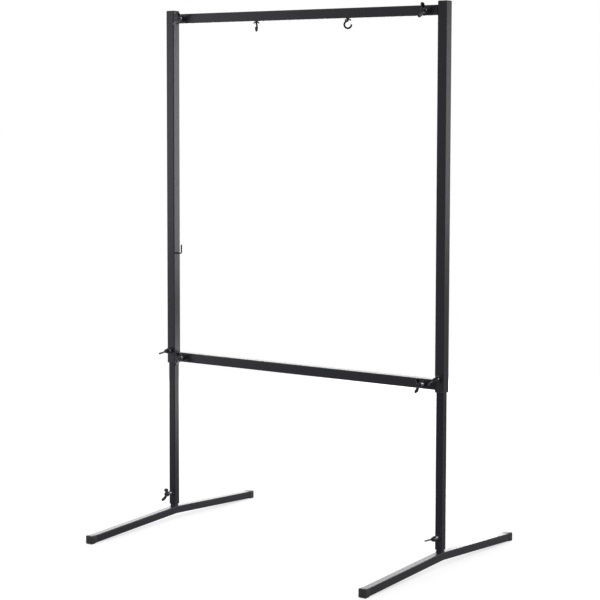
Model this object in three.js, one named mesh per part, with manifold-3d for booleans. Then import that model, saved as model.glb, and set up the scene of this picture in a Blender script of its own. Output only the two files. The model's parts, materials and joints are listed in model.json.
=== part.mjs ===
// Gong stand. Two square posts telescope on bent feet and are joined by a top and a bottom bar, which
// slide over stubs on the posts and are held by wing screws. Two swivelling hooks under the top bar
// carry the gong, and a wire hook on the left post holds the mallet. Millimetres, +Z up. X runs along
// the bars, -Y is the front, and the origin lies on the floor midway between the posts.
import * as THREE from 'three';
import { mergeVertices } from 'three/addons/utils/BufferGeometryUtils.js';
import Module from 'manifold-3d';

const wasm = await Module();
wasm.setup();

// Layout
const postSpacing = 1080;
const exposedLowerPost = 498;
const upperPostLength = 1197;
const lowerPostLength = 800;
const postAboveTopBar = 8;
const bottomBarAbovePostEnd = 4;
const heightClampRise = 40;
const footClampRise = 40;
const barClampInset = 39;
const hookSpacing = 364;
const malletHookRise = 376;

// Square tubes: the outer size makes the upper posts and the bars, the middle one the lower posts and feet
const outerTube = { side: 32, wall: 1.5, corner: 2.6 };
const middleTube = { side: 25, wall: 2, corner: 2.4 };
const innerTube = { side: 20, wall: 2, corner: 2.2 };
const barStubTube = { side: 28, wall: 2, corner: 2.2 };

// Feet
const footReach = 430;
const footTilt = THREE.MathUtils.degToRad(3);
const footBendRadius = 180;
const footStubLength = 125;
const footStubReveal = 8.4;
const weldGap = 0.2;

// Rubber shoes on the ends of the feet
const shoeGrip = 17;
const shoeEnd = 5;
const shoeWall = 1.25;
const shoeSole = 1;
const shoeSoleDepth = 1.4;
const shoeCorner = 3.2;

// Plastic plugs and bushes of the posts
const plasticGap = 0.3;
const capHead = 5;
const capChamfer = 1.2;
const capInsert = 20;
const bushFlange = 4;
const bushChamfer = 3;
const bushSleeve = 25;
const glideHead = 5;

// Stubs that the bars slide over
const barStubLength = 110;
const barEndGap = 0.5;

// Wing screws and their welded nuts
const threadDiameter = 10;
const threadClearance = 0.3;
const threadTip = 1.2;
const nutAcrossFlats = 17;
const nutHeight = 8;
const nutChamfer = 0.8;
const hubBase = 18;
const hubTop = 14;
const hubHeight = 12;
const hubEdge = 1.5;
const wingSpan = 48;
const wingHeight = 25;
const wingRoot = 2;
const wingTipRadius = 5.5;
const wingThickness = 4.5;
const earTipWrap = 0.8 * Math.PI;
const footScrewLength = 25;
const heightScrewLength = 20;
const barScrewLength = 35;
const stubHole = 11.6;

// Gong hooks, each on a threaded insert in the bar and locked by a small wing nut
const hookWire = 6;
const hookRing = 11.3;
const hookNeckInside = 0.5;
const hookTipRise = THREE.MathUtils.degToRad(8);
const hookStemRise = 12;
const insertWall = 1.2;
const insertLip = 1.5;
const insertFlangeHeight = 0.8;
const insertLength = 13;
const lockNutHub = 10;
const lockNutHeight = 4;
const lockNutSpan = 24;
const lockNutReach = 6.8;
const lockNutRoot = 0.6;
const lockNutTipRadius = 2.8;
const lockNutThickness = 2.4;

// Mallet hook
const malletWire = 4;
const malletReach = 19;
const malletRise = 30;
const malletBend = 5;

// How the loose things stand in the photograph: the turn of each wing screw about its own axis, how far
// it is backed out of its seat, and the swivel of each gong hook
const degrees = THREE.MathUtils.degToRad;
const footWingTurn = { left: degrees(66), right: degrees(9) };
const heightWingTurn = { left: degrees(20), right: degrees(37) };
const barWingTurn = {
  top: { left: degrees(56), right: degrees(70) },
  bottom: { left: degrees(82), right: degrees(81) },
};
const barWingBackedOut = { top: { left: 10, right: 8 }, bottom: { left: 10, right: 18 } };
const hookSwivel = { left: degrees(-62), right: degrees(34) };
const lockNutTurn = { left: degrees(-7), right: degrees(2) };

// Fineness of the curved faces
const cornerSegments = 2;
const roundSides = 18;
const boreSides = 16;
const nutSides = 24;
const wireSides = 8;
const wireDivisions = 7;
const footBendDivisions = 2;
const mergeDistance = 0.001;
const overrun = 1;

// Finishes
const blackPaint = new THREE.MeshStandardMaterial({ color: 0x2b2a2d, roughness: 0.48, metalness: 0.1 });
const blackPlastic = new THREE.MeshStandardMaterial({ color: 0x1d1d1f, roughness: 0.6, metalness: 0 });
const blackRubber = new THREE.MeshStandardMaterial({ color: 0x222224, roughness: 0.85, metalness: 0 });
const blackZinc = new THREE.MeshStandardMaterial({ color: 0x34343a, roughness: 0.35, metalness: 0.7 });

// Heights, bores and bends that follow from the sizes above
const footEndHeight = (middleTube.side / 2) * Math.cos(footTilt) + plasticGap + shoeSole;
const footApexHeight = footEndHeight + footReach * Math.tan(footTilt)
  - footBendRadius * (1 / Math.cos(footTilt) - 1);
const footTopHeight = footApexHeight + middleTube.side / 2;
const lowerPostBottom = footTopHeight + footStubReveal;
const lowerPostTop = lowerPostBottom + lowerPostLength;
const upperPostBottom = lowerPostBottom + exposedLowerPost;
const upperPostTop = upperPostBottom + upperPostLength;
const footClampHeight = lowerPostBottom + footClampRise;
const heightClampHeight = upperPostBottom + heightClampRise;
const barHeights = {
  top: upperPostTop - postAboveTopBar - outerTube.side / 2,
  bottom: upperPostBottom + bottomBarAbovePostEnd + outerTube.side / 2,
};
const topBarUnderside = barHeights.top - outerTube.side / 2;
const innerFace = postSpacing / 2 - outerTube.side / 2;
const barLength = 2 * (innerFace - barEndGap);
const boreDiameter = threadDiameter + 2 * threadClearance;
const insertBore = hookWire + 2 * threadClearance;
const insertBody = insertBore + 2 * insertWall;
const insertHole = insertBody + 2 * plasticGap;
const hookNeckBend = hookWire / 2 + hookNeckInside;
const hookNeckDrop = insertFlangeHeight + lockNutHeight + 2 * plasticGap;

// Solids: closed geometries go to the boolean library and come back
function solidOf(geometry) {
  const bare = new THREE.BufferGeometry();
  bare.setAttribute('position', geometry.getAttribute('position').clone());
  if (geometry.index) bare.setIndex(geometry.index.clone());
  const merged = mergeVertices(bare, mergeDistance);
  const corners = merged.index.array;
  const kept = [];
  for (let i = 0; i < corners.length; i += 3) {
    const [a, b, c] = corners.slice(i, i + 3);
    if (a !== b && b !== c && c !== a) kept.push(a, b, c);
  }
  const vertProperties = merged.getAttribute('position').array;
  const triVerts = new Uint32Array(kept);
  return new wasm.Manifold(new wasm.Mesh({ numProp: 3, vertProperties, triVerts }));
}

function geometryOf(solid) {
  const mesh = solid.getMesh();
  const geometry = new THREE.BufferGeometry();
  geometry.setAttribute('position', new THREE.BufferAttribute(new Float32Array(mesh.vertProperties), 3));
  geometry.setIndex(new THREE.BufferAttribute(new Uint32Array(mesh.triVerts), 1));
  geometry.computeVertexNormals();
  return geometry;
}

function join(first, ...others) {
  return geometryOf(others.reduce((sum, other) => sum.add(solidOf(other)), solidOf(first)));
}

function cut(body, ...tools) {
  return geometryOf(tools.reduce((rest, tool) => rest.subtract(solidOf(tool)), solidOf(body)));
}

function common(first, second) {
  return geometryOf(solidOf(first).intersect(solidOf(second)));
}

// Outlines
function rectangle(left, bottom, right, top, corner) {
  const outline = new THREE.Shape();
  outline.moveTo(left + corner, bottom);
  outline.lineTo(right - corner, bottom);
  outline.absarc(right - corner, bottom + corner, corner, -Math.PI / 2, 0, false);
  outline.lineTo(right, top - corner);
  outline.absarc(right - corner, top - corner, corner, 0, Math.PI / 2, false);
  outline.lineTo(left + corner, top);
  outline.absarc(left + corner, top - corner, corner, Math.PI / 2, Math.PI, false);
  outline.lineTo(left, bottom + corner);
  outline.absarc(left + corner, bottom + corner, corner, Math.PI, 1.5 * Math.PI, false);
  return outline;
}

function square(side, corner) {
  return rectangle(-side / 2, -side / 2, side / 2, side / 2, corner);
}

function tubeOutline({ side, wall, corner }) {
  const outline = square(side, corner);
  outline.holes.push(square(side - 2 * wall, Math.max(corner - wall, wall / 2)));
  return outline;
}

function polygon(radius, sides) {
  const points = [];
  for (let i = 0; i < sides; i += 1) {
    const angle = (2 * Math.PI * i) / sides;
    points.push(new THREE.Vector2(radius * Math.cos(angle), radius * Math.sin(angle)));
  }
  return new THREE.Shape(points);
}

// Straight pieces stand on their own base and rise along +Z
function prism(outline, length) {
  const options = { depth: length, bevelEnabled: false, curveSegments: cornerSegments };
  return new THREE.ExtrudeGeometry(outline, options);
}

function turned(profile, sides = roundSides) {
  const points = profile.map(([radius, height]) => new THREE.Vector2(radius, height));
  return new THREE.LatheGeometry(points, sides).rotateX(Math.PI / 2);
}

function drill(diameter, length) {
  return new THREE.CylinderGeometry(diameter / 2, diameter / 2, length, boreSides);
}

// A section carried along stations taken from a flat route, so that straight runs stay one facet long
class StationPath extends THREE.Curve {
  constructor(stations) {
    super();
    this.stations = stations;
  }

  getPoint(t, target = new THREE.Vector3()) {
    const place = t * (this.stations.length - 1);
    const index = Math.min(Math.floor(place), this.stations.length - 2);
    return target.copy(this.stations[index]).lerp(this.stations[index + 1], place - index);
  }

  getPointAt(u, target) {
    return this.getPoint(u, target);
  }

  getTangent(t, target = new THREE.Vector3()) {
    const last = this.stations.length - 1;
    const index = Math.round(t * last);
    const before = this.stations[index].clone().sub(this.stations[Math.max(index - 1, 0)]).normalize();
    const after = this.stations[Math.min(index + 1, last)].clone().sub(this.stations[index]).normalize();
    return target.copy(before).add(after).normalize();
  }

  getTangentAt(u, target) {
    return this.getTangent(u, target);
  }
}

function sweep(outline, route, divisions, toSpace) {
  const stations = [];
  for (const point of route.getPoints(divisions)) {
    const station = toSpace(point);
    const last = stations[stations.length - 1];
    if (!last || last.distanceTo(station) > mergeDistance) stations.push(station);
  }
  const extrudePath = new StationPath(stations);
  const steps = stations.length - 1;
  return new THREE.ExtrudeGeometry(outline, { steps, extrudePath, curveSegments: cornerSegments });
}

const alongYZ = (point) => new THREE.Vector3(0, point.x, point.y);
const alongXZ = (point) => new THREE.Vector3(point.x, 0, point.y);

// Feet: one tube, bent upwards in the middle
function footBeam() {
  const bendHalf = footBendRadius * Math.sin(footTilt);
  const bendCentre = footApexHeight - footBendRadius;
  const bendEndHeight = bendCentre + footBendRadius * Math.cos(footTilt);
  const route = new THREE.Path();
  route.moveTo(-footReach, footEndHeight);
  route.lineTo(-bendHalf, bendEndHeight);
  route.absarc(0, bendCentre, footBendRadius, Math.PI / 2 + footTilt, Math.PI / 2 - footTilt, true);
  route.lineTo(footReach, footEndHeight);
  return sweep(tubeOutline(middleTube), route, footBendDivisions, alongYZ);
}

// A shoe covers the front end of a foot, closed in front, with its sole cut flat on the floor
function footShoe() {
  const inside = middleTube.side / 2 + plasticGap;
  const outside = inside + shoeWall;
  const length = shoeGrip + plasticGap + shoeEnd;
  const shell = prism(rectangle(-outside, -outside - shoeSoleDepth, outside, outside, shoeCorner), length);
  const pocket = prism(square(2 * inside, middleTube.corner), shoeGrip + plasticGap + overrun);
  pocket.translate(0, 0, shoeEnd);
  const shoe = cut(shell, pocket);
  shoe.rotateX(-Math.PI / 2).rotateY(Math.PI).rotateX(footTilt);
  const back = shoeEnd + plasticGap;
  shoe.translate(0, -footReach - back * Math.cos(footTilt), footEndHeight - back * Math.sin(footTilt));
  const floorBlock = new THREE.BoxGeometry(4 * outside, 4 * length, 2 * outside);
  floorBlock.translate(0, -footReach, -outside);
  return cut(shoe, floorBlock);
}

// Post pieces, each in the frame of its own post with the floor at zero
function drilledTube(tube, length, ...holeHeights) {
  const holes = holeHeights.map((height) => drill(boreDiameter, 2 * (tube.wall + overrun))
    .translate(0, -tube.side / 2, height));
  return cut(prism(tubeOutline(tube), length), ...holes);
}

function chamferedHead(side, corner, height, chamfer) {
  const block = prism(square(side, corner), height);
  const reach = side / Math.SQRT2;
  const taper = new THREE.CylinderGeometry(reach - chamfer * Math.SQRT2, reach, chamfer, 4);
  taper.rotateX(Math.PI / 2).rotateZ(Math.PI / 4).translate(0, 0, height - chamfer / 2);
  const straight = new THREE.BoxGeometry(side, side, height - chamfer);
  straight.translate(0, 0, (height - chamfer) / 2);
  return common(block, join(taper, straight));
}

function tubePlug(tube, headSide, headHeight, chamfer) {
  const bore = tube.side - 2 * tube.wall;
  const head = chamferedHead(headSide, tube.corner, headHeight, chamfer);
  const insert = prism(square(bore - 2 * plasticGap, tube.corner - tube.wall / 2), capInsert + overrun);
  insert.translate(0, 0, -capInsert);
  return join(head, insert);
}

function guideBush() {
  const flange = chamferedHead(outerTube.side, outerTube.corner, bushFlange, bushChamfer).rotateX(Math.PI);
  const sleeveSide = outerTube.side - 2 * outerTube.wall - 2 * plasticGap;
  const sleeve = prism(square(sleeveSide, outerTube.corner / 2), bushSleeve + overrun);
  sleeve.translate(0, 0, -overrun);
  const boreLength = bushFlange + bushSleeve + 2 * overrun;
  const bore = prism(square(middleTube.side + 2 * plasticGap, middleTube.corner), boreLength);
  bore.translate(0, 0, -bushFlange - overrun);
  return cut(join(flange, sleeve), bore);
}

// Bars and the stubs inside their ends, both with their clamp holes in the front wall
function crossBar(holeOffsets, insertOffsets) {
  const tube = prism(tubeOutline(outerTube), barLength);
  tube.rotateY(Math.PI / 2).translate(-barLength / 2, 0, 0);
  const front = holeOffsets.map((x) => drill(boreDiameter, 2 * (outerTube.wall + overrun))
    .translate(x, -outerTube.side / 2, 0));
  const under = insertOffsets.map((x) => drill(insertHole, 2 * (outerTube.wall + overrun))
    .rotateX(Math.PI / 2).translate(x, 0, -outerTube.side / 2));
  return cut(tube, ...front, ...under);
}

function barStub() {
  const hole = drill(stubHole, 2 * (barStubTube.wall + overrun));
  hole.translate(0, -barStubTube.side / 2, barClampInset);
  return cut(prism(tubeOutline(barStubTube), barStubLength), hole);
}

// Fasteners, each with its axis along +Z and its head on top
function weldedNut() {
  const cornerRadius = nutAcrossFlats / Math.sqrt(3);
  const outline = polygon(cornerRadius, 6);
  outline.holes.push(polygon(boreDiameter / 2, boreSides));
  const edge = nutAcrossFlats / 2;
  const rounding = turned([
    [0, 0],
    [edge, 0],
    [cornerRadius + mergeDistance, nutChamfer],
    [cornerRadius + mergeDistance, nutHeight - nutChamfer],
    [edge, nutHeight],
    [0, nutHeight],
  ], nutSides);
  return common(prism(outline, nutHeight), rounding);
}

function wingEar({ reach, root, tip, tipRadius, hubRadius, hubTopHeight, thickness }) {
  const outline = new THREE.Shape();
  outline.moveTo(0, root);
  outline.quadraticCurveTo(reach, root, reach, tip - tipRadius);
  outline.absarc(reach - tipRadius, tip - tipRadius, tipRadius, 0, earTipWrap, false);
  outline.quadraticCurveTo(hubRadius, hubTopHeight, 0, hubTopHeight);
  const depth = { depth: thickness, bevelEnabled: false, curveSegments: 2 * cornerSegments };
  return new THREE.ExtrudeGeometry(outline, depth).translate(0, 0, -thickness / 2).rotateX(Math.PI / 2);
}

function pairOfEars(sizes) {
  return [wingEar(sizes), wingEar(sizes).rotateZ(Math.PI)];
}

function wingScrew(length) {
  const radius = threadDiameter / 2;
  const shankAndHub = turned([
    [0, 0],
    [radius - threadTip, 0],
    [radius, threadTip],
    [radius, length],
    [hubBase / 2, length],
    [hubTop / 2, length + hubHeight - hubEdge],
    [hubTop / 2 - hubEdge, length + hubHeight],
    [0, length + hubHeight],
  ]);
  const ears = pairOfEars({
    reach: wingSpan / 2,
    root: wingRoot,
    tip: wingHeight,
    tipRadius: wingTipRadius,
    hubRadius: hubTop / 2,
    hubTopHeight: hubHeight - hubEdge,
    thickness: wingThickness,
  });
  return join(shankAndHub, ...ears.map((ear) => ear.translate(0, 0, length)));
}

function lockNut() {
  const hub = turned([[0, 0], [lockNutHub / 2, 0], [lockNutHub / 2, lockNutHeight], [0, lockNutHeight]]);
  const ears = pairOfEars({
    reach: lockNutSpan / 2,
    root: lockNutRoot,
    tip: lockNutReach,
    tipRadius: lockNutTipRadius,
    hubRadius: lockNutHub / 2 + lockNutTipRadius,
    hubTopHeight: lockNutHeight - lockNutRoot,
    thickness: lockNutThickness,
  });
  const bore = drill(insertBore, 4 * lockNutReach).rotateX(Math.PI / 2);
  return cut(join(hub, ...ears), bore);
}

function hookInsert() {
  const bore = insertBore / 2;
  return turned([
    [bore, -insertFlangeHeight],
    [insertBody / 2 + insertLip, -insertFlangeHeight],
    [insertBody / 2 + insertLip, 0],
    [insertBody / 2, 0],
    [insertBody / 2, insertLength],
    [bore, insertLength],
    [bore, -insertFlangeHeight],
  ]);
}

// A straight stem, a short bend and an open ring centred under the stem
function gongHook() {
  const lean = Math.acos(hookNeckBend / (hookNeckBend + hookRing));
  const ringCentre = -hookNeckDrop - (hookNeckBend + hookRing) * Math.sin(lean);
  const route = new THREE.Path();
  route.moveTo(0, hookStemRise);
  route.lineTo(0, -hookNeckDrop);
  route.absarc(-hookNeckBend, -hookNeckDrop, hookNeckBend, 0, -lean, true);
  route.absarc(0, ringCentre, hookRing, Math.PI - lean, 2 * Math.PI + hookTipRise, false);
  return sweep(polygon(hookWire / 2, wireSides), route, wireDivisions, alongXZ);
}

function malletHook() {
  const route = new THREE.Path();
  route.moveTo(0, 0);
  route.lineTo(malletReach - malletBend, 0);
  route.absarc(malletReach - malletBend, malletBend, malletBend, -Math.PI / 2, 0, false);
  route.lineTo(malletReach, malletRise);
  return sweep(polygon(malletWire / 2, wireSides), route, wireDivisions, alongXZ);
}

// Assembly
function place(parent, name, geometry, material, position = [0, 0, 0], rotation = [0, 0, 0]) {
  const mesh = new THREE.Mesh(geometry, material);
  mesh.name = name;
  mesh.position.set(...position);
  mesh.rotation.set(...rotation);
  parent.add(mesh);
}

// A clamp is a nut welded on a front face and a wing screw through it; the tip lies at tipDepth behind
// the face, or less where the screw is backed out
function placeClamp(parent, name, [x, face, height], screwLength, tipDepth, turn) {
  place(parent, `${name}_nut`, weldedNut(), blackPaint, [x, face, height], [Math.PI / 2, 0, 0]);
  const tip = [x, face + tipDepth, height];
  place(parent, `${name}_wing_screw`, wingScrew(screwLength), blackZinc, tip, [Math.PI / 2, 0, turn]);
}

function makeLeg(side) {
  const leg = new THREE.Group();
  place(leg, `foot_beam_${side}`, footBeam(), blackPaint);
  const footStub = prism(tubeOutline(innerTube), footStubLength);
  place(leg, `foot_stub_${side}`, footStub, blackPaint, [0, 0, footTopHeight + weldGap]);
  place(leg, `foot_shoe_front_${side}`, footShoe(), blackRubber);
  place(leg, `foot_shoe_back_${side}`, footShoe(), blackRubber, [0, 0, 0], [0, 0, Math.PI]);
  const lowerPost = drilledTube(middleTube, lowerPostLength, footClampRise);
  place(leg, `lower_post_${side}`, lowerPost, blackPaint, [0, 0, lowerPostBottom]);
  const glideSide = outerTube.side - 2 * outerTube.wall - 2 * plasticGap;
  const glide = tubePlug(middleTube, glideSide, glideHead, capChamfer);
  place(leg, `lower_post_glide_${side}`, glide, blackPlastic, [0, 0, lowerPostTop]);
  const seat = [0, -middleTube.side / 2, footClampHeight];
  const tipDepth = (middleTube.side - innerTube.side) / 2 - plasticGap;
  placeClamp(leg, `foot_clamp_${side}`, seat, footScrewLength, tipDepth, footWingTurn[side]);
  return leg;
}

function makeUpperPost(side) {
  const post = new THREE.Group();
  const tube = drilledTube(outerTube, upperPostLength, heightClampRise);
  place(post, `upper_post_${side}`, tube, blackPaint, [0, 0, upperPostBottom]);
  const cap = tubePlug(outerTube, outerTube.side, capHead, capChamfer);
  place(post, `post_cap_${side}`, cap, blackPlastic, [0, 0, upperPostTop]);
  place(post, `guide_bush_${side}`, guideBush(), blackPlastic, [0, 0, upperPostBottom]);
  const seat = [0, -outerTube.side / 2, heightClampHeight];
  const tipDepth = (outerTube.side - middleTube.side) / 2 - plasticGap;
  placeClamp(post, `height_clamp_${side}`, seat, heightScrewLength, tipDepth, heightWingTurn[side]);
  return post;
}

function makeBar(level, insertOffsets) {
  const bar = new THREE.Group();
  const clampOffset = innerFace - barClampInset;
  place(bar, `${level}_bar`, crossBar([-clampOffset, clampOffset], insertOffsets), blackPaint);
  for (const [side, sign] of [['left', -1], ['right', 1]]) {
    const stub = barStub().rotateY((-sign * Math.PI) / 2);
    place(bar, `${level}_bar_stub_${side}`, stub, blackPaint, [sign * innerFace, 0, 0]);
    const tipDepth = barScrewLength - nutHeight - barWingBackedOut[level][side];
    const seat = [sign * clampOffset, -outerTube.side / 2, 0];
    placeClamp(bar, `${level}_bar_clamp_${side}`, seat, barScrewLength, tipDepth, barWingTurn[level][side]);
  }
  bar.position.z = barHeights[level];
  return bar;
}

function makeGongHook(side) {
  const hook = new THREE.Group();
  place(hook, `hook_insert_${side}`, hookInsert(), blackZinc);
  place(hook, `gong_hook_${side}`, gongHook(), blackZinc, [0, 0, 0], [0, 0, hookSwivel[side]]);
  const nutTop = [0, 0, -insertFlangeHeight - plasticGap];
  place(hook, `hook_lock_nut_${side}`, lockNut(), blackZinc, nutTop, [Math.PI, 0, lockNutTurn[side]]);
  return hook;
}

const stand = new THREE.Group();
for (const [side, sign] of [['left', -1], ['right', 1]]) {
  for (const half of [makeLeg(side), makeUpperPost(side)]) {
    half.position.x = (sign * postSpacing) / 2;
    stand.add(half);
  }
  const hook = makeGongHook(side);
  hook.position.set((sign * hookSpacing) / 2, 0, topBarUnderside);
  stand.add(hook);
}
stand.add(makeBar('top', [-hookSpacing / 2, hookSpacing / 2]), makeBar('bottom', []));
const malletHookHeight = upperPostBottom + malletHookRise;
place(stand, 'mallet_hook', malletHook(), blackPaint, [-innerFace, 0, malletHookHeight]);

export default stand;
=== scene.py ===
# Gong stand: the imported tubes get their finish, and the fasteners, hooks, shoes, caps and bushes get
# detailed pieces. Metres, +Z up, +X along the bars, -Y the front, origin on the floor between the posts.
import json
import math
import random

import bmesh
import bpy
from mathutils import Matrix, Vector


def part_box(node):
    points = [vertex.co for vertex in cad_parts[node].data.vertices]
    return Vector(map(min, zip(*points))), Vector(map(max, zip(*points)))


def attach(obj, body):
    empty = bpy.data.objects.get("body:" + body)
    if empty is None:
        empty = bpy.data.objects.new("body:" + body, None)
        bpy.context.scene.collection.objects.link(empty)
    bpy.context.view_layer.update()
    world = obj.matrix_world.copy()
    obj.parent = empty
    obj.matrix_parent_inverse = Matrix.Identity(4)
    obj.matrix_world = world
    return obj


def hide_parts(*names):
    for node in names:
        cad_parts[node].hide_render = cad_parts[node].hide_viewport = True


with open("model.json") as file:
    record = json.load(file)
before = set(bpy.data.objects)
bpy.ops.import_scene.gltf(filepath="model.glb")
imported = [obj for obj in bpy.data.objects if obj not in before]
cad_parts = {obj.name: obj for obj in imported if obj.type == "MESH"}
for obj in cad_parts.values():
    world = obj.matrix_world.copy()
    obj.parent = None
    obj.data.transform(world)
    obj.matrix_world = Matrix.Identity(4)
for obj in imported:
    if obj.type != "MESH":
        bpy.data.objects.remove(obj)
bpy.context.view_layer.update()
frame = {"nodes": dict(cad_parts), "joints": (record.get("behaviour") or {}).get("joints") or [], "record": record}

MM = 0.001
SIDES = ("left", "right")
X, Y, Z = Vector((1, 0, 0)), Vector((0, 1, 0)), Vector((0, 0, 1))
FACING_FRONT = Matrix.Rotation(math.pi / 2, 4, "X")
NODES = frame["nodes"]
BODIES = frame["record"]["behaviour"]["bodies"]
JOINTS = {joint["child"]: joint for joint in frame["joints"]}

# Camera, fitted to the photograph
IMAGE_SIZE = 600
FOCAL_PIXELS = 1777.4
CENTRE_ROW = 246
CAMERA_PLACE = Vector((3.3867, -4.675, 1.4367))
CAMERA_YAW = 0.62739
CAMERA_PITCH = 0.07889
CAMERA_ROLL = 0.00226
SENSOR = 36
CAMERA_REACH = 200

# Meshes: angles in degrees at which a shaded edge stays sharp, and the distance at which points merge
SHARP_ANGLE = 34
MOULDED_ANGLE = 50
ROUND_FORM_ANGLE = 60
MERGE_DISTANCE = 0.001 * MM
CORNER_STEPS = 6
WIRE_SIDES = 16
DOME_ANGLES = (80, 60, 40, 20)
DOME_CLEARANCE = 1.2
CAST_RELAX = 0.5

# Wing screws
THREAD_RADIUS = 5 * MM
THREAD_PITCH = 1.5 * MM
THREAD_DEPTH = 0.85 * MM
THREAD_CHAMFER = 1.2 * MM
THREAD_SIDES = 28
THREAD_ROWS_PER_TURN = 6
THREAD_FLANK = 2.4
THREAD_IN_HUB = 1 * MM
HUB_BASE = 9 * MM
HUB_TOP = 7 * MM
HUB_HEIGHT = 12 * MM
WING_REACH = 24 * MM
WING_HEIGHT = 25 * MM
WING_TIP = 5.5 * MM
WING_ROOT = 1.6 * MM
WING_THICKNESS = 4.7 * MM
WING_SHOULDER = HUB_HEIGHT - 1.5 * MM
WING_VOXEL = 0.55 * MM
WING_RELAX = 5
EAR_STEPS = 10
EAR_TIP_STEPS = 12
EAR_TIP_WRAP = 0.8 * math.pi
EAR_EDGE_SHARE = 0.32
EAR_EDGE_SEGMENTS = 3
HUB_SIDES = 40
HUB_PROFILE = (
    (HUB_BASE - 1.2 * MM, 0), (HUB_BASE, 1.0 * MM), (HUB_BASE - 0.1 * MM, 3 * MM),
    (HUB_TOP + 0.6 * MM, 7 * MM), (HUB_TOP, WING_SHOULDER), (HUB_TOP - 0.5 * MM, HUB_HEIGHT - 0.4 * MM),
    (HUB_TOP - 1.6 * MM, HUB_HEIGHT),
)

# Nuts and weld beads
NUT_FLATS = 17 * MM
NUT_HEIGHT = 8 * MM
NUT_BORE = 5.1 * MM
NUT_CHAMFER_RADIUS = 8.1 * MM
NUT_CHAMFER_SLOPE = math.tan(math.radians(30))
NUT_SINK = 0.7 * MM
NUT_SIDES = 96
NUT_SHARP_ANGLE = 28
BEAD = 1.3 * MM
BEAD_STEPS = 120
BEAD_SIDES = 10
BEAD_RIPPLES = 34
BEAD_RIPPLE = 0.1
BEAD_ROUGH = 0.05
BEAD_OUT_SHARE = 0.35
CORNER_SHARE = 0.55

# Gong hooks and their lock nuts
HOOK_WIRE = 3 * MM
HOOK_RING = 11.3 * MM
HOOK_NECK = 3.5 * MM
HOOK_DROP = 5.4 * MM
HOOK_RISE = 12 * MM
HOOK_TIP_RISE = math.radians(8)
HOOK_NECK_STEPS = 8
HOOK_RING_STEPS = 40
HOOK_TIP_SHARE = 0.35
LOCK_HUB = 5 * MM
LOCK_HEIGHT = 4 * MM
LOCK_REACH = 12 * MM
LOCK_DROP = 6.8 * MM
LOCK_TIP = 2.8 * MM
LOCK_ROOT = 0.6 * MM
LOCK_THICKNESS = 2.3 * MM
LOCK_SHOULDER = LOCK_HEIGHT - 0.6 * MM
LOCK_VOXEL = 0.3 * MM
LOCK_RELAX = 3
LOCK_SIDES = 32
LOCK_PROFILE = ((LOCK_HUB - 0.5 * MM, 0), (LOCK_HUB, 0.5 * MM), (LOCK_HUB, LOCK_HEIGHT - 0.5 * MM),
                (LOCK_HUB - 0.6 * MM, LOCK_HEIGHT))

# Mallet hook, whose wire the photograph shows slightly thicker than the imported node
MALLET_WIRE = 2 * MM
MALLET_SHOWN_WIRE = 2.5 * MM
MALLET_BEND = 5 * MM
MALLET_BEND_STEPS = 12
MALLET_IN_WALL = 1.2 * MM
MALLET_BEAD = 0.9 * MM
MALLET_BEAD_OUT = 0.3 * MM
MALLET_BEAD_STEPS = 40
MALLET_BEAD_RIPPLES = 9
MALLET_BEAD_SEED = 77

# Shoes; each section is (inset along the foot, inset of the skin, height of its underside), and the insets
# along the foot run from the closed end, but in the lip from the mouth
FOOT_SLOPE = math.tan(math.radians(3))
SHOE_CORNER = 3.2 * MM
SHOE_EDGE = 2.2 * MM
SHOE_EDGE_STEPS = 6
SHOE_EDGE_SOLE_SHARE = 0.6
SHOE_MOUTH_INSET = 0.1 * MM
SHOE_SKIN = ((5 * MM, 0, 0), (14 * MM, 0.5 * MM, 0))
SHOE_LIP = ((0.4 * MM, 0.95 * MM, 1.6 * MM), (0, 1.15 * MM, 1.75 * MM), (0, 1.35 * MM, 1.95 * MM))
SHOE_SOCKET = (6 * MM, 1.35 * MM, 1.1 * MM)

# Caps and bushes of the upper posts
SKIRT_CORNER = 1.5 * MM
CAP_SKIRT = 13.9 * MM
CAP_CORNER = 2.6 * MM
CAP_SEAT_CORNER = 2.5 * MM
CAP_SEAT_INSET = 0.15 * MM
CAP_EDGE = 1.6 * MM
CAP_CROWN = 0.9 * MM
CAP_CROWN_SHARES = ((0.8, 0.55), (0.5, 0.85), (0.2, 1.0))
BUSH_BORE = 12.75 * MM
BUSH_BORE_CORNER = 2.4 * MM
BUSH_BORE_CHAMFER = (0.4 * MM, 0.5 * MM)
BUSH_SKIRT = 14.1 * MM
BUSH_SKIRT_CORNER = 1.4 * MM
BUSH_CORNER = 2.6 * MM
BUSH_SEAT_INSET = 0.1 * MM
BUSH_EDGE = 2.2 * MM
BUSH_SHARP_ANGLE = 40
RIM_STEPS = 5

# Welds at the feet
FOOT_BEAD = 1.6 * MM
FOOT_BEAD_RISE = 0.2 * MM
FOOT_BEAD_CORNER = 2.2 * MM
FOOT_BEAD_CORNER_STEPS = 8
FOOT_BEAD_PITCH = 0.8 * MM
FOOT_BEAD_RIPPLES = 30
FOOT_BEAD_SEED = 50

# Stage
FLOOR_HALF = 60
FLOOR_TONE = 0.5
FLOOR_ROUGHNESS = 0.9
FLOOR_SHINE = 0.1
FLOOR_GLOW = 0.6
AMBIENT = 0.5
BACKDROP = 1.0

# What mirrors show of the world: direction from and to, brightness from and to
SKY_RISE = (0.0, 0.25, 0.5, 1.0)
SKY_SIDES = (0.48, 0.72, 0.5, 1.15)

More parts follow.
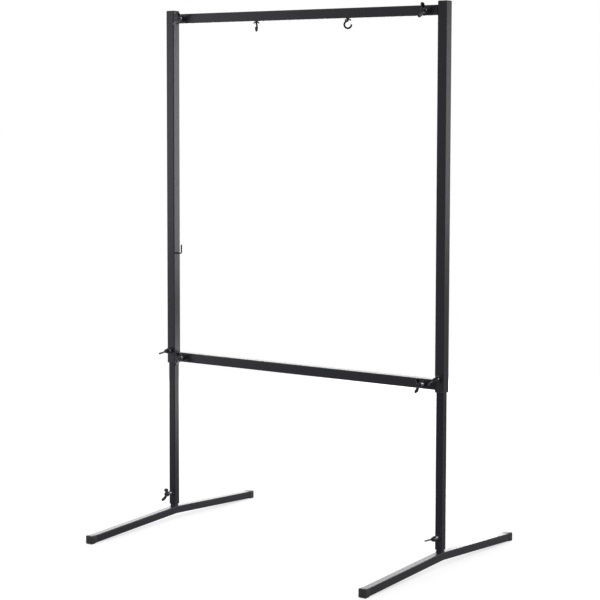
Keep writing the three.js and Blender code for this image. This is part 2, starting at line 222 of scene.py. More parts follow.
# Lamps: the sun's direction, strength and angle; each softbox's place, target, size and power
KEY = ((0.5, -0.35, 0.8), 1.1, 38)
SOFTBOXES = {
    "back_near": ((0.2, 0.9, 1.26), (-0.54, 0, 1.26), (0.5, 1.1), 4.2),
    "back_right": ((2.2, 2.6, 1.4), (0.54, 0, 1.2), (1.0, 1.2), 6.8),
    "back_low": ((0.2, 0.9, 0.3), (-0.54, 0, 0.45), (0.5, 0.4), 1.9),
    "back_left": ((-2.1, 2.7, 0.95), (0, 0, 0.3), (2.6, 1.6), 40),
    "front_left": ((-3.2, -2.6, 1.3), (-0.4, 0, 1.2), (1.6, 1.5), 11),
    "front_low": ((-1.65, -1.12, 0.2), (-0.54, 0, 0.45), (0.3, 0.3), 0.6),
}

# Finishes: each noise as (scale, detail), the ranges of its values, colours, roughness and bumps
MIDDLE = (0.3, 0.7)
NOISE_ROUGHNESS = 0.55
COAT_CLOUDS = (9.0, 5.0)
COAT_CLOUD_RANGE = (0.35, 0.65)
COAT_FINE = (260.0, 3.0)
COAT_PEEL_NOISE = (620.0, 2.0)
# Dust on up-facing coat, which is also a painted sheen: it lightens the tops as a grazing reflection would
DUST_AND_SHEEN_NOISE = (34.0, 6.0)
DUST_AND_SHEEN_RANGE = (0.3, 0.75, 0.25, 1.0)
DUST_AND_SHEEN_FACING = (0.5, 1.0)
RUB_LINES = (420.0, 2.0)
RUB_LINE_RANGE = (0.66, 0.72)
RUB_STRETCH = (1.0, 1.0, 0.012)
RUB_PATCHES = (6.0, 3.0)
RUB_PATCH_RANGE = (0.5, 0.68)
PLASTIC_PATCHES = (60.0, 4.0)
PLASTIC_GRAIN_NOISE = (1500.0, 2.0)
RUBBER_PATCHES = (90.0, 6.0)
RUBBER_DUST_RANGE = (0.45, 0.8)
RUBBER_GRAIN_NOISE = (1100.0, 4.0)
STEEL_STAINS = (180.0, 6.0)
STEEL_DISTORTION = 0.6
STEEL_GRAIN_NOISE = (900.0, 3.0)
COAT_TINT = (0.006, 0.006, 0.0125)
COAT_CLOUD_SHARES = (0.8, 1.25)
COAT_ROUGHNESS = (0.28, 0.38)
COAT_SHINE = 0.5
SLID_COAT_SHINE = 0.36
COAT_PEEL = 0.08 * MM
# Tint and share of the dust and painted sheen on up-facing coat
DUST_AND_SHEEN_TINT = (0.2, 0.2, 0.205)
DUST_AND_SHEEN_SHARE = 0.16
RUB_TINT = (0.16, 0.16, 0.17)
RUB_SHARE = 0.5
PLASTIC_TINTS = ((0.012, 0.012, 0.013), (0.024, 0.024, 0.026))
PLASTIC_ROUGHNESS = (0.42, 0.58)
PLASTIC_GRAIN = 0.08 * MM
RUBBER_TINTS = ((0.014, 0.014, 0.017), (0.06, 0.06, 0.064))
RUBBER_ROUGHNESS = (0.34, 0.46)
RUBBER_DUST_SHARE = 0.35
RUBBER_GRAIN = 0.08 * MM
STEEL_GRAIN = 0.06 * MM


# Mesh helpers
def link(name, mesh):
    piece = bpy.data.objects.new(name, mesh)
    bpy.context.collection.objects.link(piece)
    return piece


def smooth(mesh, angle=SHARP_ANGLE):
    mesh.shade_smooth()
    mesh.set_sharp_from_angle(angle=math.radians(angle))


def mesh_from(name, verts, faces, angle=SHARP_ANGLE):
    mesh = bpy.data.meshes.new(name)
    mesh.from_pydata([tuple(v) for v in verts], [], faces)
    mesh.validate()
    bm = bmesh.new()
    bm.from_mesh(mesh)
    bmesh.ops.remove_doubles(bm, verts=bm.verts, dist=MERGE_DISTANCE)
    bmesh.ops.recalc_face_normals(bm, faces=bm.faces)
    bm.to_mesh(mesh)
    bm.free()
    smooth(mesh, angle)
    return mesh


def loft(name, rings, closed=False, angle=SHARP_ANGLE):
    """A skin over rings of equally many points; the ends are filled, or joined to each other where closed."""
    count = len(rings[0])
    verts = [point for ring in rings for point in ring]
    faces = []
    pairs = list(zip(range(len(rings) - 1), range(1, len(rings))))
    if closed:
        pairs.append((len(rings) - 1, 0))
    for a, b in pairs:
        for i in range(count):
            j = (i + 1) % count
            faces.append((a * count + i, a * count + j, b * count + j, b * count + i))
    if not closed:
        faces.append(tuple(range(count)))
        faces.append(tuple(range((len(rings) - 1) * count, len(rings) * count)))
    return mesh_from(name, verts, faces, angle)


def soften(piece, width, segments, angle):
    bevel = piece.modifiers.new("soft_edges", "BEVEL")
    bevel.width = width
    bevel.segments = segments
    bevel.limit_method = "ANGLE"
    bevel.angle_limit = math.radians(angle)


def even_normals(piece):
    weighted = piece.modifiers.new("even_normals", "WEIGHTED_NORMAL")
    weighted.keep_sharp = True
    weighted.weight = 100


def applied(piece):
    """The piece's mesh with its modifiers worked in; the piece itself goes."""
    depsgraph = bpy.context.evaluated_depsgraph_get()
    mesh = bpy.data.meshes.new_from_object(piece.evaluated_get(depsgraph))
    bpy.data.objects.remove(piece)
    return mesh


def cast_skin(name, meshes, voxel, passes):
    """One cast skin over several closed forms, with the fillets of a casting."""
    bm = bmesh.new()
    for mesh in meshes:
        bm.from_mesh(mesh)
    joined = bpy.data.meshes.new(name)
    bm.to_mesh(joined)
    bm.free()
    piece = link(name, joined)
    remesh = piece.modifiers.new("skin", "REMESH")
    remesh.mode = "VOXEL"
    remesh.voxel_size = voxel
    relax = piece.modifiers.new("relax", "SMOOTH")
    relax.factor = CAST_RELAX
    relax.iterations = passes
    mesh = applied(piece)
    mesh.shade_smooth()
    return mesh


def square_ring(half_x, half_y, radius, height, steps=CORNER_STEPS):
    """A rounded rectangle in a level plane."""
    ring = []
    for quarter in range(4):
        turn = quarter * math.pi / 2
        sx = 1 if quarter in (0, 3) else -1
        sy = 1 if quarter in (0, 1) else -1
        for step in range(steps + 1):
            angle = turn + step / steps * math.pi / 2
            x = sx * (half_x - radius) + radius * math.cos(angle)
            y = sy * (half_y - radius) + radius * math.sin(angle)
            ring.append(Vector((x, y, height)))
    return ring


def circle(count):
    """The angles of evenly spaced points on a circle."""
    return [2 * math.pi * i / count for i in range(count)]


def turned(name, profile, sides):
    """A turned form from a profile of radii and heights."""
    rings = [[Vector((radius * math.cos(a), radius * math.sin(a), height)) for a in circle(sides)]
             for radius, height in profile]
    return loft(name, rings)


def wire(name, points, radius):
    """A round wire along points, with domed ends, clear of the points that would crowd its domes."""
    clear = DOME_CLEARANCE * radius
    inner = [p for p in points[1:-1] if min((p - points[0]).length, (p - points[-1]).length) > clear]
    points = [points[0], *inner, points[-1]]
    tangents = []
    for i in range(len(points)):
        before = points[max(i - 1, 0)]
        after = points[min(i + 1, len(points) - 1)]
        tangents.append((after - before).normalized())
    normal = tangents[0].orthogonal().normalized()
    rings = []

    def ring(centre, tangent, r):
        nonlocal normal
        normal = (normal - normal.dot(tangent) * tangent).normalized()
        side = tangent.cross(normal)
        return [centre + r * (math.cos(a) * normal + math.sin(a) * side) for a in circle(WIRE_SIDES)]

    dome = [math.radians(angle) for angle in DOME_ANGLES]
    for a in dome:
        depth = radius * (1 - math.sin(a))
        rings.append(ring(points[0] + tangents[0] * depth, tangents[0], radius * math.cos(a)))
    start, end = points[0] + tangents[0] * radius, points[-1] - tangents[-1] * radius
    for point, tangent in zip([start, *points[1:-1], end], tangents):
        rings.append(ring(point, tangent, radius))
    for a in reversed(dome):
        depth = radius * (1 - math.sin(a))
        rings.append(ring(points[-1] - tangents[-1] * depth, tangents[-1], radius * math.cos(a)))
    return loft(name, rings, angle=ROUND_FORM_ANGLE)


# Shader helpers
def new_material(name):
    material = bpy.data.materials.new(name)
    material.use_nodes = True
    tree = material.node_tree
    bsdf = tree.nodes["Principled BSDF"]
    return material, tree, bsdf


def noise(tree, coords, scale, detail, distortion=0.0, stretch=None):
    texture = tree.nodes.new("ShaderNodeTexNoise")
    texture.inputs["Scale"].default_value = scale
    texture.inputs["Detail"].default_value = detail
    texture.inputs["Roughness"].default_value = NOISE_ROUGHNESS
    texture.inputs["Distortion"].default_value = distortion
    if stretch:
        mapping = tree.nodes.new("ShaderNodeMapping")
        mapping.inputs["Scale"].default_value = stretch
        tree.links.new(coords, mapping.inputs["Vector"])
        coords = mapping.outputs["Vector"]
    tree.links.new(coords, texture.inputs["Vector"])
    return texture.outputs["Fac"]


def spread(tree, value, low, high, out_low=0.0, out_high=1.0):
    ramp = tree.nodes.new("ShaderNodeMapRange")
    ramp.inputs["From Min"].default_value = low
    ramp.inputs["From Max"].default_value = high
    ramp.inputs["To Min"].default_value = out_low
    ramp.inputs["To Max"].default_value = out_high
    tree.links.new(value, ramp.inputs["Value"])
    return ramp.outputs["Result"]


def blend(tree, factor, first, second):
    """A mix of two colours; each value is a number, a colour or a socket."""
    mix = tree.nodes.new("ShaderNodeMix")
    mix.data_type = "RGBA"
    for value, socket in ((factor, mix.inputs[0]), (first, mix.inputs[6]), (second, mix.inputs[7])):
        if isinstance(value, bpy.types.NodeSocket):
            tree.links.new(value, socket)
        elif isinstance(value, (tuple, list)):
            socket.default_value = (*value, 1.0)
        else:
            socket.default_value = value
    return mix.outputs[2]


def maths(tree, operation, first, second=None):
    made = tree.nodes.new("ShaderNodeMath")
    made.operation = operation
    for value, socket in ((first, made.inputs[0]), (second, made.inputs[1])):
        if isinstance(value, bpy.types.NodeSocket):
            tree.links.new(value, socket)
        elif value is not None:
            socket.default_value = value
    return made.outputs[0]


def bump(tree, bsdf, height, distance):
    """Works a height texture into the surface normal."""
    made = tree.nodes.new("ShaderNodeBump")
    made.inputs["Strength"].default_value = 1.0
    made.inputs["Distance"].default_value = distance
    tree.links.new(height, made.inputs["Height"])
    tree.links.new(made.outputs["Normal"], bsdf.inputs["Normal"])


def upward(tree):
    """How far a surface faces up, from 0 to 1."""
    geometry = tree.nodes.new("ShaderNodeNewGeometry")
    split = tree.nodes.new("ShaderNodeSeparateXYZ")
    tree.links.new(geometry.outputs["Normal"], split.inputs[0])
    return spread(tree, split.outputs["Z"], *DUST_AND_SHEEN_FACING)


# Finishes
def powder_coat(name, shine, rub_marks=False):
    """Satin black powder coat: orange peel, faint cloudiness, and a little dust on top that is also a painted
    sheen standing in for the grazing reflection on up-facing faces.
    """
    material, tree, bsdf = new_material(name)
    coords = tree.nodes.new("ShaderNodeTexCoord").outputs["Object"]
    clouds = noise(tree, coords, *COAT_CLOUDS)
    fine = noise(tree, coords, *COAT_FINE)
    dark, light = (tuple(share * c for c in COAT_TINT) for share in COAT_CLOUD_SHARES)
    colour = blend(tree, spread(tree, clouds, *COAT_CLOUD_RANGE), dark, light)
    patches = spread(tree, noise(tree, coords, *DUST_AND_SHEEN_NOISE), *DUST_AND_SHEEN_RANGE)
    # Dust and painted sheen: up-facing coat is lightened in patches, partly as dust and partly in place of the
    # grazing reflection on tops
    dust = maths(tree, "MULTIPLY", upward(tree), patches)
    colour = blend(tree, maths(tree, "MULTIPLY", dust, DUST_AND_SHEEN_SHARE), colour, DUST_AND_SHEEN_TINT)
    rough = spread(tree, fine, *MIDDLE, *COAT_ROUGHNESS)
    if rub_marks:
        lines = noise(tree, coords, *RUB_LINES, stretch=RUB_STRETCH)
        scratch = spread(tree, lines, *RUB_LINE_RANGE)
        patch = spread(tree, noise(tree, coords, *RUB_PATCHES), *RUB_PATCH_RANGE)
        scratch = maths(tree, "MULTIPLY", scratch, maths(tree, "MULTIPLY", patch, RUB_SHARE))
        colour = blend(tree, scratch, colour, RUB_TINT)
    tree.links.new(colour, bsdf.inputs["Base Color"])
    tree.links.new(rough, bsdf.inputs["Roughness"])
    bsdf.inputs["Specular IOR Level"].default_value = shine
    bump(tree, bsdf, noise(tree, coords, *COAT_PEEL_NOISE), COAT_PEEL)
    return material


def moulded_plastic():
    material, tree, bsdf = new_material("moulded_black_plastic")
    coords = tree.nodes.new("ShaderNodeTexCoord").outputs["Object"]
    grain = noise(tree, coords, *PLASTIC_GRAIN_NOISE)
    patches = noise(tree, coords, *PLASTIC_PATCHES)
    colour = blend(tree, spread(tree, patches, *MIDDLE), *PLASTIC_TINTS)
    tree.links.new(colour, bsdf.inputs["Base Color"])
    tree.links.new(spread(tree, patches, *MIDDLE, *PLASTIC_ROUGHNESS), bsdf.inputs["Roughness"])
    bump(tree, bsdf, grain, PLASTIC_GRAIN)
    return material


def dull_rubber():
    material, tree, bsdf = new_material("black_rubber")
    coords = tree.nodes.new("ShaderNodeTexCoord").outputs["Object"]
    patches = noise(tree, coords, *RUBBER_PATCHES)
    dust = maths(tree, "MULTIPLY", spread(tree, patches, *RUBBER_DUST_RANGE), RUBBER_DUST_SHARE)
    colour = blend(tree, dust, *RUBBER_TINTS)
    tree.links.new(colour, bsdf.inputs["Base Color"])
    tree.links.new(spread(tree, patches, *MIDDLE, *RUBBER_ROUGHNESS), bsdf.inputs["Roughness"])
    bump(tree, bsdf, noise(tree, coords, *RUBBER_GRAIN_NOISE), RUBBER_GRAIN)
    return material


def plated_steel(name, dark, light, roughness, metallic):
    """Plated steel with faint streaks and stains."""
    material, tree, bsdf = new_material(name)
    coords = tree.nodes.new("ShaderNodeTexCoord").outputs["Object"]
    stains = noise(tree, coords, *STEEL_STAINS, distortion=STEEL_DISTORTION)
    colour = blend(tree, spread(tree, stains, *MIDDLE), dark, light)
    tree.links.new(colour, bsdf.inputs["Base Color"])
    tree.links.new(spread(tree, stains, *MIDDLE, *roughness), bsdf.inputs["Roughness"])
    bsdf.inputs["Metallic"].default_value = metallic
    bump(tree, bsdf, noise(tree, coords, *STEEL_GRAIN_NOISE), STEEL_GRAIN)
    return material


coat = powder_coat("satin_black_coat", COAT_SHINE)
slid_coat = powder_coat("satin_black_coat_slid", SLID_COAT_SHINE, rub_marks=True)
plastic = moulded_plastic()
rubber = dull_rubber()
bright_zinc = plated_steel("bright_zinc", (0.18, 0.18, 0.184), (0.42, 0.42, 0.43), (0.2, 0.34), 1.0)
black_zinc = plated_steel("black_zinc", (0.025, 0.025, 0.028), (0.06, 0.06, 0.066), (0.16, 0.3), 0.8)
dark_steel = plated_steel("dark_steel", (0.01, 0.01, 0.012), (0.03, 0.03, 0.034), (0.35, 0.5), 0.7)


def finish_mesh(mesh, material):
    mesh.materials.clear()
    mesh.materials.append(material)


def finish(piece, material):
    finish_mesh(piece.data, material)


def moved(rings, centre):
    """Rings moved sideways to a centre."""
    return [[Vector((point.x + centre.x, point.y + centre.y, point.z)) for point in ring] for ring in rings]


# CAD nodes that stay
def dress_nodes():
    for name, piece in NODES.items():
        smooth(piece.data)
        even_normals(piece)
        if name.startswith("lower_post_") and "glide" not in name:
            finish(piece, slid_coat)
        elif name.startswith(("guide_bush", "post_cap", "lower_post_glide")):
            finish(piece, plastic)
        elif name.startswith("foot_shoe"):
            finish(piece, rubber)
        elif name.startswith("hook_insert"):
            finish(piece, dark_steel)
        else:
            finish(piece, coat)


# Wing screws
def thread_mesh(length):
    """A round bar with a real screw thread on it, from its chamfered tip up."""
    rows = math.ceil(length / THREAD_PITCH * THREAD_ROWS_PER_TURN)
    rings = []
    for row in range(rows + 1):
        height = length * row / rows
        ring = []
        for i, angle in enumerate(circle(THREAD_SIDES)):
            phase = (height / THREAD_PITCH - i / THREAD_SIDES) % 1.0
            crest = min(1.0, THREAD_FLANK * abs(phase - 0.5))
            radius = THREAD_RADIUS - THREAD_DEPTH * (1 - crest)
            radius = min(radius, THREAD_RADIUS - THREAD_CHAMFER + height)
            ring.append(Vector((radius * math.cos(angle), radius * math.sin(angle), height)))
        rings.append(ring)
    return loft("thread", rings, angle=MOULDED_ANGLE)


def ear_mesh(reach, root, height, tip, hub, hub_top, thickness):
    """One ear as a flat form in the XZ plane, with rounded edges."""
    def curve(start, control, end, steps):
        return [(1 - t) ** 2 * start + 2 * t * (1 - t) * control + t * t * end
                for t in (k / steps for k in range(1, steps + 1))]

    outline = [Vector((0, 0, root))]
    tip_start = Vector((reach, 0, height - tip))
    outline += curve(outline[0], Vector((reach, 0, root)), tip_start, EAR_STEPS)
    for k in range(1, EAR_TIP_STEPS + 1):
        angle = EAR_TIP_WRAP * k / EAR_TIP_STEPS
        outline.append(Vector((reach - tip + tip * math.cos(angle), 0, height - tip + tip * math.sin(angle))))
    outline += curve(outline[-1], Vector((hub, 0, hub_top)), Vector((0, 0, hub_top)), EAR_STEPS)
    half = Vector((0, thickness / 2, 0))
    count = len(outline)
    verts = [p - half for p in outline] + [p + half for p in outline]
    faces = [tuple(range(count)), tuple(range(count, 2 * count))]
    faces += [(i, (i + 1) % count, (i + 1) % count + count, i + count) for i in range(count)]
    piece = link("ear", mesh_from("ear", verts, faces))
    soften(piece, EAR_EDGE_SHARE * thickness, EAR_EDGE_SEGMENTS, MOULDED_ANGLE)
    return applied(piece)


def turned_copy(mesh, angle):
    copy = mesh.copy()
    copy.transform(Matrix.Rotation(angle, 4, "Z"))
    return copy


def wing_head_mesh():
    """Hub and ears in one casting, with the base of the hub at zero."""
    hub = turned("hub", HUB_PROFILE, HUB_SIDES)
    ear = ear_mesh(WING_REACH, WING_ROOT, WING_HEIGHT, WING_TIP, HUB_TOP, WING_SHOULDER, WING_THICKNESS)
    return cast_skin("wing_head", [hub, ear, turned_copy(ear, math.pi)], WING_VOXEL, WING_RELAX)


def turn_of(node_name, centre, across, up):
    """The turn of a node's farthest corners about an axis, in the plane of two directions."""
    places = [vertex.co - centre for vertex in NODES[node_name].data.vertices]
    farthest = max(places, key=lambda v: v.dot(across) ** 2 + v.dot(up) ** 2)
    return math.atan2(farthest.dot(up), farthest.dot(across))


def add_wing_screws():
    head = wing_head_mesh()
    finish_mesh(head, black_zinc)
    threads = {}
    for body, nodes in BODIES.items():
        if "_wing_" not in body:
            continue
        name = nodes[0]
        centre = Vector(JOINTS[body]["pos_m"])
        low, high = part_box(name)
        length = high.y - low.y - WING_HEIGHT
        key = round(length / MM)
        if key not in threads:
            threads[key] = thread_mesh(length + THREAD_IN_HUB)
            finish_mesh(threads[key], bright_zinc)
        place = Matrix.Translation((centre.x, high.y, centre.z)) @ FACING_FRONT
        place = place @ Matrix.Rotation(turn_of(name, centre, X, Z), 4, "Z")
        shank = link(name.replace("wing_screw", "thread"), threads[key])
        shank.matrix_world = place
        wings = link(name.replace("wing_screw", "wings"), head)
        wings.matrix_world = place @ Matrix.Translation((0, 0, length))
        for piece in (shank, wings):
            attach(piece, body)
        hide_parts(name)
        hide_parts(name)


# Welded nuts
def hexagon(angle):
    return (NUT_FLATS / 2) / math.cos((angle + math.pi / 6) % (math.pi / 3) - math.pi / 6)


def nut_mesh():
    """A hexagon nut with turned chamfers and a countersunk bore."""
    def ring(radius, height):
        out = []
        for angle in circle(NUT_SIDES):
            r = radius(angle) if callable(radius) else radius
            h = height(angle) if callable(height) else height
            out.append(Vector((r * math.cos(angle), r * math.sin(angle), h)))
        return out

    def drop(angle):
        return max(0.0, hexagon(angle) - NUT_CHAMFER_RADIUS) * NUT_CHAMFER_SLOPE

    rings = [
        ring(NUT_BORE, 0), ring(hexagon, 0), ring(hexagon, lambda a: NUT_HEIGHT - drop(a)),
        ring(NUT_CHAMFER_RADIUS, NUT_HEIGHT), ring(NUT_BORE + NUT_SINK, NUT_HEIGHT),
        ring(NUT_BORE, NUT_HEIGHT - NUT_SINK),
    ]
    return loft("nut", rings, closed=True, angle=NUT_SHARP_ANGLE)


def bead_mesh(path, radius, ripples, seed):
    """A weld bead with its scales, closed along a path of points."""
    rng = random.Random(seed)
    count = len(path)
    lumps = [1 + BEAD_RIPPLE * math.sin(ripples * angle) + rng.uniform(-BEAD_ROUGH, BEAD_ROUGH)
             for angle in circle(count)]
    centre = sum(path, Vector()) / count
    rings = []
    for i, point in enumerate(path):
        tangent = (path[(i + 1) % count] - path[i - 1]).normalized()
        out = (point - centre).normalized()
        normal = (out - out.dot(tangent) * tangent).normalized()
        side = tangent.cross(normal)
        r = radius * lumps[i]
        rings.append([point + r * (math.cos(a) * normal + math.sin(a) * side) for a in circle(BEAD_SIDES)])
    return loft("bead", rings, closed=True, angle=ROUND_FORM_ANGLE)


def add_nuts():
    nut = nut_mesh()
    finish_mesh(nut, coat)
    for index, name in enumerate(sorted(NODES)):
        if not name.endswith("_nut") or name.startswith("hook_lock"):
            continue
        body = next(b for b, nodes in BODIES.items() if name in nodes)
        low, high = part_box(name)
        centre = (low + high) / 2
        place = Matrix.Translation((centre.x, high.y, centre.z)) @ FACING_FRONT
        fresh = link(name.replace("_nut", "_hex_nut"), nut)
        fresh.matrix_world = place
        path = []
        for angle in circle(BEAD_STEPS):
            r = CORNER_SHARE * hexagon(angle) + (1 - CORNER_SHARE) * NUT_FLATS / 2 + BEAD_OUT_SHARE * BEAD
            path.append(Vector((r * math.cos(angle), r * math.sin(angle), 0)))
        weld = link(name.replace("_nut", "_weld"), bead_mesh(path, BEAD, BEAD_RIPPLES, index))
        finish(weld, coat)
        weld.matrix_world = place
        for made in (fresh, weld):
            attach(made, body)
        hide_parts(name)


# Hooks
def arc(centre, radius, start, end, steps):
    return [Vector((centre[0] + radius * math.cos(a), 0, centre[1] + radius * math.sin(a)))
            for a in (start + (end - start) * k / steps for k in range(steps + 1))]


def gong_hook_mesh():
    lean = math.acos(HOOK_NECK / (HOOK_NECK + HOOK_RING))
    ring_height = -HOOK_DROP - (HOOK_NECK + HOOK_RING) * math.sin(lean)
    tip = 2 * math.pi + HOOK_TIP_RISE
    route = [Vector((0, 0, HOOK_RISE)), Vector((0, 0, 0))]
    route += arc((-HOOK_NECK, -HOOK_DROP), HOOK_NECK, 0, -lean, HOOK_NECK_STEPS)
    route += arc((0, ring_height), HOOK_RING, math.pi - lean, tip, HOOK_RING_STEPS)[1:]
    return wire("gong_hook", route, HOOK_WIRE)


def lock_nut_mesh():
    hub = turned("lock_hub", LOCK_PROFILE, LOCK_SIDES)
    ear = ear_mesh(LOCK_REACH, LOCK_ROOT, LOCK_DROP, LOCK_TIP, LOCK_HUB + LOCK_TIP, LOCK_SHOULDER,
                   LOCK_THICKNESS)
    return cast_skin("lock_nut", [hub, ear, turned_copy(ear, math.pi)], LOCK_VOXEL, LOCK_RELAX)


def add_gong_hooks():
    hook, nut = gong_hook_mesh(), lock_nut_mesh()
    finish_mesh(hook, dark_steel)
    finish_mesh(nut, dark_steel)
    for side in SIDES:
        centre = Vector(JOINTS[f"swivel_hook_{side}"]["pos_m"])
        piece = link(f"gong_hook_wire_{side}", hook)
        level = centre.z - HOOK_DROP - HOOK_RING - HOOK_NECK
        upper = [v.co for v in NODES[f"gong_hook_{side}"].data.vertices
                 if level + HOOK_TIP_SHARE * HOOK_RING < v.co.z < level + HOOK_RING]
        closed_side = max(upper, key=lambda v: (v - centre).xy.length)
        turn = math.atan2(closed_side.y - centre.y, closed_side.x - centre.x) + math.pi
        piece.matrix_world = Matrix.Translation(centre) @ Matrix.Rotation(turn, 4, "Z")
        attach(piece, f"swivel_hook_{side}")
        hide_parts(f"gong_hook_{side}")
        name = f"hook_lock_nut_{side}"
        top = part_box(name)[1].z
        wings = link(f"hook_wing_nut_{side}", nut)
        place = Matrix.Translation((centre.x, centre.y, top))
        place = place @ Matrix.Rotation(turn_of(name, centre, X, Y), 4, "Z")
        wings.matrix_world = place @ Matrix.Rotation(math.pi, 4, "X")
        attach(wings, f"lock_nut_{side}")
        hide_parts(name)


def add_mallet_hook():
    low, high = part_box("mallet_hook")
    start_z = low.z + MALLET_WIRE
    far_x = high.x - MALLET_WIRE
    middle = (low.y + high.y) / 2
    bend_centre = (far_x - MALLET_BEND, start_z + MALLET_BEND)
    route = [Vector((low.x - MALLET_IN_WALL, 0, start_z))]
    route += arc(bend_centre, MALLET_BEND, -math.pi / 2, 0, MALLET_BEND_STEPS)
    route += [Vector((far_x, 0, high.z))]
    piece = link("mallet_hook_wire", wire("mallet_hook", route, MALLET_SHOWN_WIRE))
    piece.matrix_world = Matrix.Translation((0, middle, 0))
    finish(piece, slid_coat)
    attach(piece, "frame")
    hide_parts("mallet_hook")
    r = MALLET_SHOWN_WIRE + MALLET_BEAD_OUT
    path = [Vector((low.x, middle + r * math.cos(angle), start_z + r * math.sin(angle)))
            for angle in circle(MALLET_BEAD_STEPS)]
    weld = link("mallet_hook_weld", bead_mesh(path, MALLET_BEAD, MALLET_BEAD_RIPPLES, MALLET_BEAD_SEED))
    finish(weld, coat)
    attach(weld, "frame")


# Rubber shoes, caps and bushes
def rim(half, corner, edge, height, rise):
    """The rounded rim of a cap or bush: its rings climb or sink from a height."""
    rings = []
    for k in range(RIM_STEPS + 1):
        angle = k / RIM_STEPS * math.pi / 2
        inset = edge * (1 - math.cos(angle))
        rings.append(square_ring(half - inset, half - inset, corner, height + rise * edge * math.sin(angle)))
    return rings


def shoe_mesh(low, high, sign, mouth):
    """A shoe closed at its outer end, flat below and tapered to a thin lip at its mouth."""
    centre_x = (low.x + high.x) / 2
    half = (high.x - low.x) / 2
    length = high.y - low.y
    outer = low.y if sign < 0 else high.y

    def section(inset, shrink, bottom):
        top = high.z - FOOT_SLOPE * (length - inset) - shrink
        ring = square_ring(half - shrink, (top - bottom) / 2, SHOE_CORNER, 0)
        middle = (top + bottom) / 2
        return [Vector((centre_x + point.x, outer - sign * inset, middle + point.y)) for point in ring]

    rings = []
    for k in range(SHOE_EDGE_STEPS + 1):
        angle = k / SHOE_EDGE_STEPS * math.pi / 2
        shrink = SHOE_EDGE * (1 - math.sin(angle))
        rings.append(section(SHOE_EDGE * (1 - math.cos(angle)), shrink, SHOE_EDGE_SOLE_SHARE * shrink))
    rings += [section(*values) for values in SHOE_SKIN]
    rings += [section(mouth - inset, shrink, bottom) for inset, shrink, bottom in SHOE_LIP]
    rings.append(section(*SHOE_SOCKET))
    return loft("shoe", rings, angle=MOULDED_ANGLE)


def add_shoes():
    for side in SIDES:
        for end, sign in (("front", -1), ("back", 1)):
            name = f"foot_shoe_{end}_{side}"
            low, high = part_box(name)
            # The pieces are named by the distance of the mouth from the closed end, in metres
            mouth = high.y - low.y - SHOE_MOUTH_INSET
            piece = link(f"rubber_shoe_{mouth}_{side}", shoe_mesh(low, high, sign, mouth))
            finish(piece, rubber)
            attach(piece, f"{side}_leg")
            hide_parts(name)


def add_caps():
    for side in SIDES:
        name = f"post_cap_{side}"
        low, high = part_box(name)
        half = (high.x - low.x) / 2
        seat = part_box(f"upper_post_{side}")[1].z
        seat_half = half - CAP_SEAT_INSET
        shoulder = high.z - CAP_CROWN
        rings = [square_ring(CAP_SKIRT, CAP_SKIRT, SKIRT_CORNER, height) for height in (low.z, seat)]
        rings.append(square_ring(seat_half, seat_half, CAP_SEAT_CORNER, seat))
        rings += rim(half, CAP_CORNER, CAP_EDGE, shoulder - CAP_EDGE, 1)
        for share, rise in CAP_CROWN_SHARES:
            crown = shoulder + CAP_CROWN * rise
            rings.append(square_ring(half * share, half * share, CAP_CORNER * share, crown))
        piece = link(f"tube_cap_{side}", loft("cap", moved(rings, (low + high) / 2), angle=MOULDED_ANGLE))
        finish(piece, plastic)
        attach(piece, "frame")
        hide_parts(name)


def add_bushes():
    for side in SIDES:
        name = f"guide_bush_{side}"
        low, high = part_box(name)
        half = (high.x - low.x) / 2
        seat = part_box(f"upper_post_{side}")[0].z
        seat_half = half - BUSH_SEAT_INSET
        chamfer, chamfer_rise = BUSH_BORE_CHAMFER
        mouth = BUSH_BORE + chamfer
        rings = [square_ring(BUSH_BORE, BUSH_BORE, BUSH_BORE_CORNER, high.z)]
        rings += [square_ring(BUSH_SKIRT, BUSH_SKIRT, BUSH_SKIRT_CORNER, height) for height in (high.z, seat)]
        rings.append(square_ring(seat_half, seat_half, BUSH_CORNER, seat))
        rings += rim(half, BUSH_CORNER, BUSH_EDGE, low.z + BUSH_EDGE, -1)
        rings += [square_ring(mouth, mouth, BUSH_BORE_CORNER, low.z),
                  square_ring(BUSH_BORE, BUSH_BORE, BUSH_BORE_CORNER, low.z + chamfer_rise)]
        mesh = loft("bush", moved(rings, (low + high) / 2), closed=True, angle=BUSH_SHARP_ANGLE)
        piece = link(f"slide_bush_{side}", mesh)
        finish(piece, plastic)
        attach(piece, "frame")
        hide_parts(name)


def add_foot_welds():
    """The bead that joins each foot's stub to the tube below it."""
    for side in SIDES:
        low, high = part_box(f"foot_stub_{side}")
        half = (high.x - low.x) / 2
        corners = square_ring(half, half, FOOT_BEAD_CORNER, low.z + FOOT_BEAD_RISE, FOOT_BEAD_CORNER_STEPS)
        path = moved([corners], (low + high) / 2)[0]
        dense = []
        for i, point in enumerate(path):
            following = path[(i + 1) % len(path)]
            steps = max(1, round((following - point).length / FOOT_BEAD_PITCH))
            dense += [point.lerp(following, k / steps) for k in range(steps)]
        mesh = bead_mesh(dense, FOOT_BEAD, FOOT_BEAD_RIPPLES, FOOT_BEAD_SEED + len(side))
        piece = link(f"foot_weld_{side}", mesh)
        finish(piece, coat)
        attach(piece, f"{side}_leg")


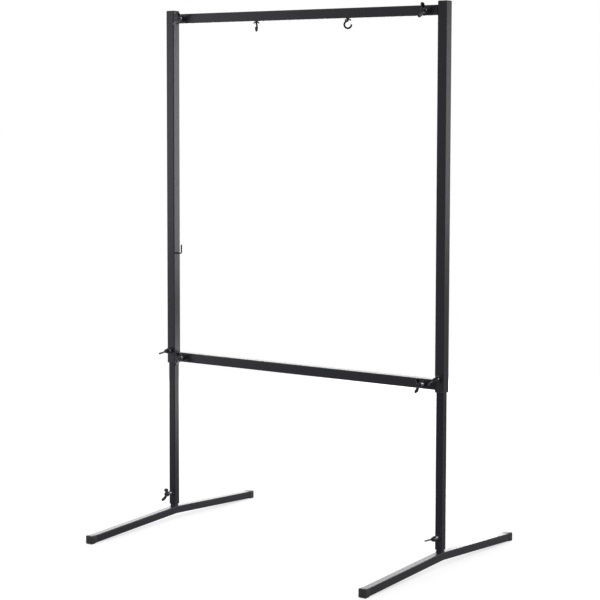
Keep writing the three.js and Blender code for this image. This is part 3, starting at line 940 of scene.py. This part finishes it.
# Stage
def add_floor():
    verts = [(x * FLOOR_HALF, y * FLOOR_HALF, 0) for x, y in ((-1, -1), (1, -1), (1, 1), (-1, 1))]
    mesh = bpy.data.meshes.new("floor")
    mesh.from_pydata(verts, [], [(0, 1, 2, 3)])
    floor = link("floor", mesh)
    material, tree, bsdf = new_material("pale_floor")
    bsdf.inputs["Base Color"].default_value = (FLOOR_TONE, FLOOR_TONE, FLOOR_TONE, 1)
    bsdf.inputs["Roughness"].default_value = FLOOR_ROUGHNESS
    bsdf.inputs["Specular IOR Level"].default_value = FLOOR_SHINE
    path = tree.nodes.new("ShaderNodeLightPath")
    glow = maths(tree, "MULTIPLY", path.outputs["Is Camera Ray"], FLOOR_GLOW)
    tree.links.new(glow, bsdf.inputs["Emission Strength"])
    bsdf.inputs["Emission Color"].default_value = (1, 1, 1, 1)
    finish(floor, material)


def add_world():
    world = bpy.data.worlds.new("studio")
    bpy.context.scene.world = world
    world.use_nodes = True
    tree = world.node_tree
    background = tree.nodes["Background"]
    path = tree.nodes.new("ShaderNodeLightPath")
    direction = tree.nodes.new("ShaderNodeTexCoord").outputs["Generated"]
    split = tree.nodes.new("ShaderNodeSeparateXYZ")
    tree.links.new(direction, split.inputs[0])
    height = spread(tree, split.outputs["Z"], *SKY_RISE)
    sideways = spread(tree, maths(tree, "ABSOLUTE", split.outputs["X"]), *SKY_SIDES)
    mirrored = maths(tree, "MULTIPLY", height, sideways)
    strength = tree.nodes.new("ShaderNodeMix")
    strength.data_type = "FLOAT"
    tree.links.new(path.outputs["Is Glossy Ray"], strength.inputs[0])
    strength.inputs[2].default_value = AMBIENT
    tree.links.new(mirrored, strength.inputs[3])
    shown = tree.nodes.new("ShaderNodeMix")
    shown.data_type = "FLOAT"
    tree.links.new(path.outputs["Is Camera Ray"], shown.inputs[0])
    tree.links.new(strength.outputs[0], shown.inputs[2])
    shown.inputs[3].default_value = BACKDROP
    background.inputs["Color"].default_value = (1, 1, 1, 1)
    tree.links.new(shown.outputs[0], background.inputs["Strength"])


def add_sun(name, direction, strength, angle):
    lamp = bpy.data.lights.new(name, "SUN")
    lamp.energy = strength
    lamp.angle = math.radians(angle)
    made = bpy.data.objects.new(name, lamp)
    bpy.context.collection.objects.link(made)
    made.rotation_euler = Vector(direction).to_track_quat("Z", "Y").to_euler()


def add_softbox(name, place, target, size, power):
    lamp = bpy.data.lights.new(name, "AREA")
    lamp.shape = "RECTANGLE"
    lamp.size, lamp.size_y = size
    lamp.energy = power
    made = bpy.data.objects.new(name, lamp)
    bpy.context.collection.objects.link(made)
    made.location = place
    made.rotation_euler = (Vector(place) - Vector(target)).to_track_quat("Z", "Y").to_euler()
    made.visible_camera = False


def add_camera():
    data = bpy.data.cameras.new("camera")
    data.sensor_width = SENSOR
    data.lens = FOCAL_PIXELS / IMAGE_SIZE * SENSOR
    data.shift_y = (CENTRE_ROW - IMAGE_SIZE / 2) / IMAGE_SIZE
    data.clip_end = CAMERA_REACH
    camera = bpy.data.objects.new("camera", data)
    bpy.context.collection.objects.link(camera)
    ahead = math.cos(CAMERA_PITCH)
    forward = Vector((-math.sin(CAMERA_YAW) * ahead, math.cos(CAMERA_YAW) * ahead, -math.sin(CAMERA_PITCH)))
    level = Vector((math.cos(CAMERA_YAW), math.sin(CAMERA_YAW), 0))
    right = math.cos(CAMERA_ROLL) * level + math.sin(CAMERA_ROLL) * level.cross(forward)
    up = right.cross(forward)
    rotation = Matrix((right, up, -forward)).transposed().to_4x4()
    camera.matrix_world = Matrix.Translation(CAMERA_PLACE) @ rotation
    bpy.context.scene.camera = camera


add_camera()
dress_nodes()
add_wing_screws()
add_nuts()
add_gong_hooks()
add_mallet_hook()
add_shoes()
add_caps()
add_bushes()
add_foot_welds()
add_floor()
add_world()
add_sun("key", *KEY)
for name, values in SOFTBOXES.items():
    add_softbox(name, *values)
bpy.context.scene.view_settings.view_transform = "Standard"
